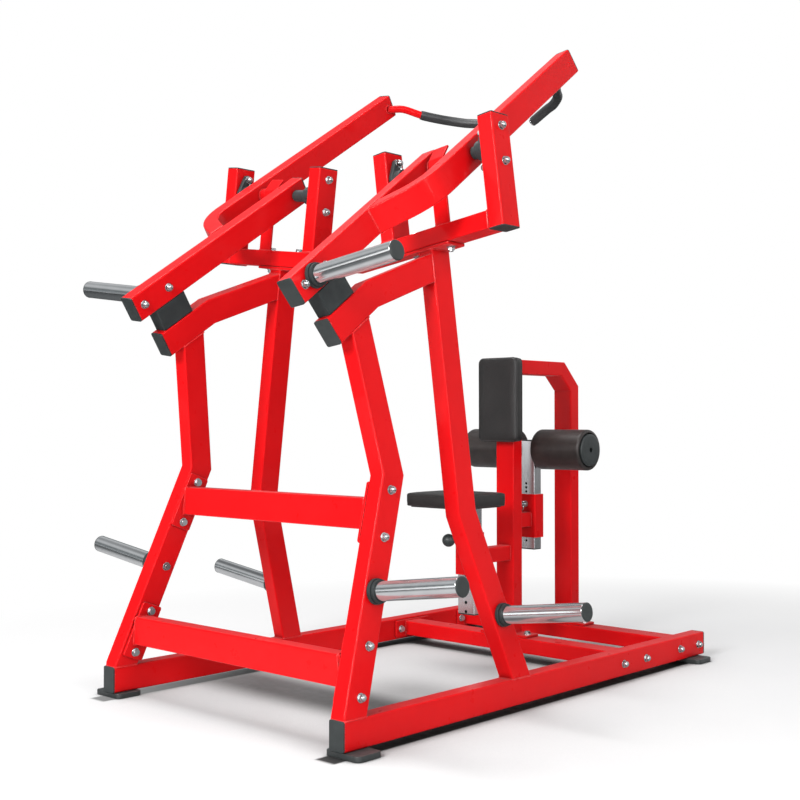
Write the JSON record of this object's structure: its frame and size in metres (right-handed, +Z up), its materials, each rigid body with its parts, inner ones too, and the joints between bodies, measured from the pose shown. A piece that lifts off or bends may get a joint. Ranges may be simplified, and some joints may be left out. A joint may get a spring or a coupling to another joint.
{
  "type": "plate-loaded front pulldown machine",
  "caption": "Plate-loaded pulldown machine with independent overhead swing arms, leaned side frames, seat, chest pad and roller thigh hold-down.",
  "frame": {"origin": "on the floor, at the middle of the machine's overall length and on its left-right mirror plane", "axes": "+X to the machine's right side seen from the weight horns, +Y from the weight horns towards the seat and chest pad, +Z up"},
  "size_m": [1.525, 1.7658, 1.9539],
  "materials": {
    "red_powder_coat": "glossy red powder coat",
    "black_end_cap": "satin black moulded plastic",
    "black_foot": "satin black plate",
    "black_rubber": "matt black rubber",
    "chrome_bar": "bright chrome plating",
    "zinc_steel": "bright zinc plating",
    "cast_housing": "dark painted casting",
    "black_upholstery": "fine-grain black upholstery vinyl",
    "black_foam": "dense black foam with a smooth skin",
    "grip_rubber": "matt black grip rubber"
  },
  "bodies": {
    "frame": {"side_frame_left": "red_powder_coat", "side_frame_right": "red_powder_coat", "rear_crossbar_upper": "red_powder_coat", "rear_crossbar_lower": "red_powder_coat", "seat_crossbar": "red_powder_coat", "front_crossbar": "red_powder_coat", "pivot_frame": "red_powder_coat", "pad_frame": "red_powder_coat", "chest_pad": "black_upholstery", "rail_cap_rear_left": "black_end_cap", "rail_cap_rear_right": "black_end_cap", "rail_cap_front_left": "black_end_cap", "rail_cap_front_right": "black_end_cap", "foot_rear_left": "black_foot", "foot_rear_right": "black_foot", "foot_front_left": "black_foot", "foot_front_right": "black_foot", "stop_beam_cap_left": "black_end_cap", "stop_beam_cap_right": "black_end_cap", "bumper_left": "black_rubber", "bumper_right": "black_rubber", "storage_peg_rear_left": "chrome_bar", "storage_peg_rear_right": "chrome_bar", "storage_peg_front_left": "chrome_bar", "storage_peg_front_right": "chrome_bar", "storage_collar_rear_left": "black_rubber", "storage_collar_rear_right": "black_rubber", "storage_collar_front_left": "black_rubber", "storage_collar_front_right": "black_rubber", "pivot_bearing_inner_left": "cast_housing", "pivot_bearing_inner_right": "cast_housing", "pivot_bearing_outer_left": "cast_housing", "pivot_bearing_outer_right": "cast_housing", "post_cap_inner_left": "black_end_cap", "post_cap_inner_right": "black_end_cap", "post_cap_outer_left": "black_end_cap", "post_cap_outer_right": "black_end_cap", "post_foot_cap_left": "black_end_cap", "post_foot_cap_right": "black_end_cap"},
    "arm_left": {"arm_left": "red_powder_coat", "handle_grip_left": "grip_rubber", "pivot_shaft_left": "zinc_steel", "weight_horn_left": "chrome_bar", "horn_collar_left": "black_rubber", "arm_cap_rear_left": "black_end_cap"},
    "arm_right": {"arm_right": "red_powder_coat", "handle_grip_right": "grip_rubber", "pivot_shaft_right": "zinc_steel", "weight_horn_right": "chrome_bar", "horn_collar_right": "black_rubber", "arm_cap_rear_right": "black_end_cap"},
    "seat": {"seat_cushion": "black_upholstery", "seat_post": "chrome_bar"},
    "roller_carriage": {"roller_post": "chrome_bar", "roller_axle": "chrome_bar"},
    "roller_left": {"foam_roller_left": "black_foam"},
    "roller_right": {"foam_roller_right": "black_foam"},
    "seat_pin": {"seat_pin": "black_end_cap"},
    "roller_pin": {"roller_pin": "zinc_steel"}
  },
  "joints": [
    {"name": "left_arm_pivot", "type": "hinge", "parent": "frame", "child": "arm_left", "pos_m": [-0.3376, -0.2986, 1.52252], "axis": [-0.9912, 0, 0.1323], "range_deg": [0, 50]},
    {"name": "right_arm_pivot", "type": "hinge", "parent": "frame", "child": "arm_right", "pos_m": [0.3376, -0.2986, 1.52252], "axis": [-0.9912, 0, -0.1323], "range_deg": [0, 50]},
    {"name": "seat_height", "type": "slide", "parent": "frame", "child": "seat", "axis": [0, 0, 1], "range_m": [-0.06, 0.1]},
    {"name": "roller_height", "type": "slide", "parent": "frame", "child": "roller_carriage", "axis": [0, 0, 1], "range_m": [-0.07, 0.09]},
    {"name": "left_roller_spin", "type": "hinge", "parent": "roller_carriage", "child": "roller_left", "pos_m": [0, 0.5679, 0.708], "axis": [1, 0, 0], "continuous": true},
    {"name": "right_roller_spin", "type": "hinge", "parent": "roller_carriage", "child": "roller_right", "pos_m": [0, 0.5679, 0.708], "axis": [1, 0, 0], "continuous": true},
    {"name": "seat_pin_pull", "type": "slide", "parent": "frame", "child": "seat_pin", "axis": [0, -1, 0], "range_m": [0, 0.01], "stiffness_N_per_m": 1500},
    {"name": "roller_pin_pull", "type": "slide", "parent": "frame", "child": "roller_pin", "axis": [0, -1, 0], "range_m": [0, 0.008], "stiffness_N_per_m": 1500}
  ]
}
